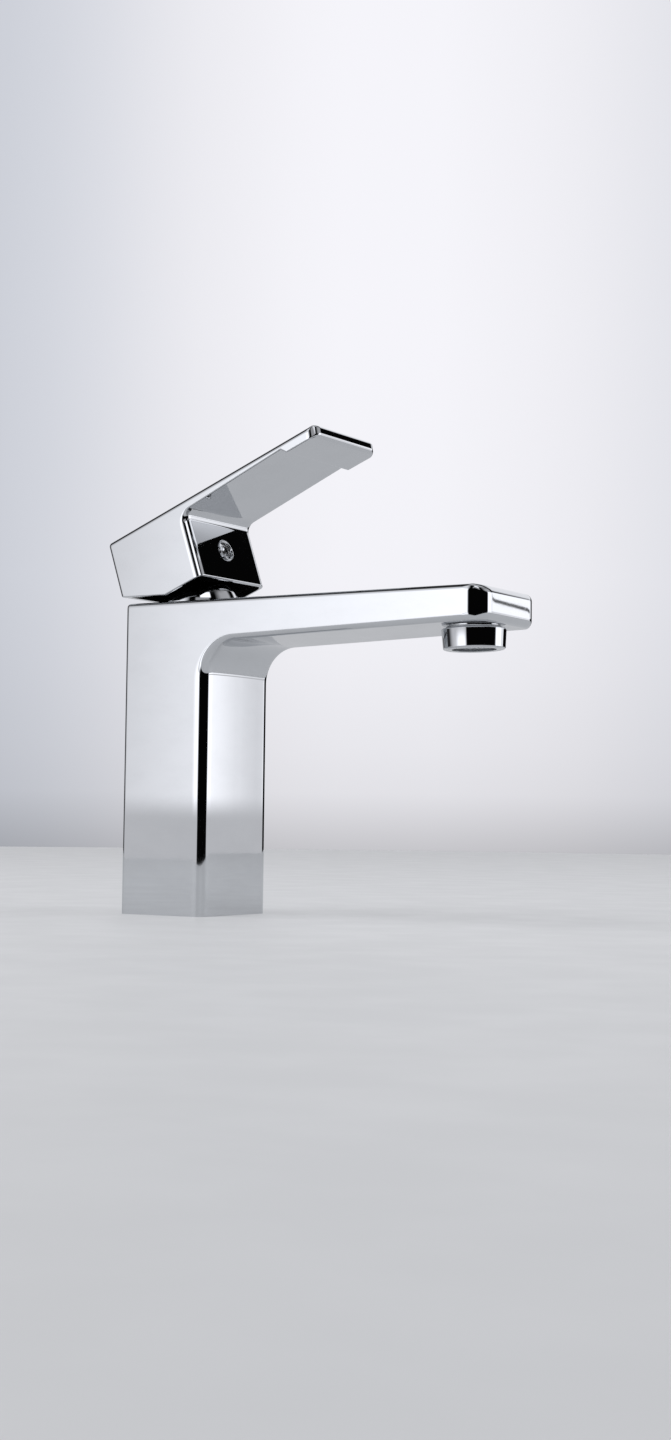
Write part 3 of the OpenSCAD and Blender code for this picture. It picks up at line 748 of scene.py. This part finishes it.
def studio():
    """A world of soft panels set by direction: bright to the left and right, dark round the camera."""
    world = bpy.data.worlds.new("studio")
    bpy.context.scene.world = world
    world.use_nodes = True
    nodes = Nodes(world.node_tree)
    direction = nodes.add("ShaderNodeTexCoord").outputs["Generated"]
    split = nodes.add("ShaderNodeSeparateXYZ", {0: direction})
    turn = nodes.math("ARCTAN2", split.outputs[1], split.outputs[0])
    azimuth = nodes.math("MULTIPLY", turn, 180 / math.pi)
    height = nodes.math("MULTIPLY", nodes.math("ARCSINE", split.outputs[2]), 180 / math.pi)

    # the soft panels, then the small pieces that give single faces their tones
    low = by_azimuth(nodes, azimuth, LOW_PANELS)
    high = by_azimuth(nodes, azimuth, HIGH_PANELS)
    lifted = nodes.mix(nodes.span(height, *LIFT), low, high)
    notch = nodes.math("MULTIPLY", window(nodes, azimuth, *NOTCH_AZIMUTH), nodes.span(height, 4.7, 4.4))
    notched = nodes.mix(notch, lifted, grey(BLACK))
    strip = nodes.math("MULTIPLY", window(nodes, azimuth, 58, 68, 1), window(nodes, height, 5.2, 14, 0.4))
    lit = nodes.mix(strip, notched, grey(1.55))
    tilted = nodes.math("ADD", height, nodes.math("MULTIPLY", azimuth, 0.1))
    seam = nodes.math("MULTIPLY", window(nodes, azimuth, 57, 68, 1),
                      window(nodes, tilted, 12.40, 12.50, 0.06))
    seamed = nodes.mix(seam, lit, grey(0.08))
    card = nodes.math("MULTIPLY", window(nodes, azimuth, -50, -22, 4), window(nodes, height, 28, 40, 3))
    # overhead: dark, with a grey zenith and a lighter side away from the camera's reflections
    above = nodes.mix(nodes.span(height, 33, 50), seamed, grey(0.03))
    zenith = nodes.mix(nodes.span(height, 62, 85), above, grey(0.35))
    overhead = nodes.math("MULTIPLY", window(nodes, azimuth, -105, 45, 10), nodes.span(height, 42, 50))
    roofed = nodes.mix(overhead, zenith, grey(0.6))
    patch = nodes.math("MULTIPLY", window(nodes, azimuth, -62, -28, 6), window(nodes, height, 11, 25, 3))
    patched = nodes.mix(patch, roofed, grey(0.42))
    carded = nodes.mix(card, patched, grey(1.7))
    # a haze along the horizon, no brighter than the far floor
    haze = window(nodes, height, -1.3, -0.1, 0.8)
    below = nodes.mix(haze, carded, grey(0.72), "DARKEN")
    tint = nodes.mix(1.0, below, (0.965, 0.965, 1.0, 1), "MULTIPLY")

    # what the camera itself sees behind the object
    glow = by_azimuth(nodes, azimuth, BACKDROP_GLOW)
    rise = nodes.ramp(nodes.span(height, -2, 14, kind="LINEAR"), BACKDROP_RISE)
    wall = nodes.mix(nodes.span(glow, 0.6, 0.9), (0.93, 0.965, 1.06, 1), (0.985, 0.98, 1.03, 1))
    backdrop = nodes.add("ShaderNodeVectorMath", {0: wall, "Scale": nodes.math("MULTIPLY", glow, rise)},
                         operation="SCALE").outputs[0]
    seen = nodes.add("ShaderNodeLightPath").outputs["Is Camera Ray"]
    background = nodes.add("ShaderNodeBackground", {"Color": nodes.mix(seen, tint, backdrop)})
    nodes.add("ShaderNodeOutputWorld", {"Surface": background.outputs[0]})


def softbox(name, location, size, power):
    """An area light that lights the floor and plastic, but leaves no shape in the chrome."""
    light = bpy.data.lights.new(name, "AREA")
    light.shape = "DISK"
    light.size = size
    light.energy = power
    obj = bpy.data.objects.new(name, light)
    obj.location = location
    aim = Vector((0.06, 0, 0.05)) - Vector(location)
    obj.rotation_mode = "QUATERNION"
    obj.rotation_quaternion = aim.to_track_quat("-Z", "Y")
    obj.visible_glossy = False
    obj.visible_camera = False
    bpy.context.scene.collection.objects.link(obj)


# Fitted to the straight edges of the faucet, for an image of 671 x 1440.
CAMERA_AIM = Vector((0.0755, 0, 0.1064))
CAMERA_DISTANCE = 0.8842
CAMERA_ANGLES = (32.41, -4.02, 0.66)     # azimuth from -Y towards +X, elevation and roll
CAMERA_FOCAL = 1991 / 1440               # in image heights
CAMERA_SHIFT_Y = (678.5 - 720) / 1440


def camera():
    """The camera at the photographed viewing angle."""
    data = bpy.data.cameras.new("camera")
    data.sensor_width = 36
    data.lens = CAMERA_FOCAL * 36
    data.shift_y = CAMERA_SHIFT_Y
    data.clip_start, data.clip_end = 0.01, 50
    obj = bpy.data.objects.new("camera", data)
    azimuth, elevation, roll = (math.radians(a) for a in CAMERA_ANGLES)
    back = Vector((math.sin(azimuth) * math.cos(elevation), -math.cos(azimuth) * math.cos(elevation),
                   math.sin(elevation)))
    right = Vector((math.cos(azimuth), math.sin(azimuth), 0))
    up = back.cross(right)
    right_rolled = right * math.cos(roll) + up * math.sin(roll)
    up_rolled = up * math.cos(roll) - right * math.sin(roll)
    turn = Matrix((right_rolled, up_rolled, back)).transposed().to_4x4()
    obj.matrix_world = Matrix.Translation(CAMERA_AIM + back * CAMERA_DISTANCE) @ turn
    bpy.context.scene.collection.objects.link(obj)
    bpy.context.scene.camera = obj


bpy.context.scene.view_settings.view_transform = "Standard"
bpy.context.scene.view_settings.look = "None"

floor()
studio()
softbox("key_softbox", (-0.5, -0.6, 1.5), 1.2, 14)
softbox("fill_softbox", (0.9, 0.5, 1.2), 1.0, 7)
camera()
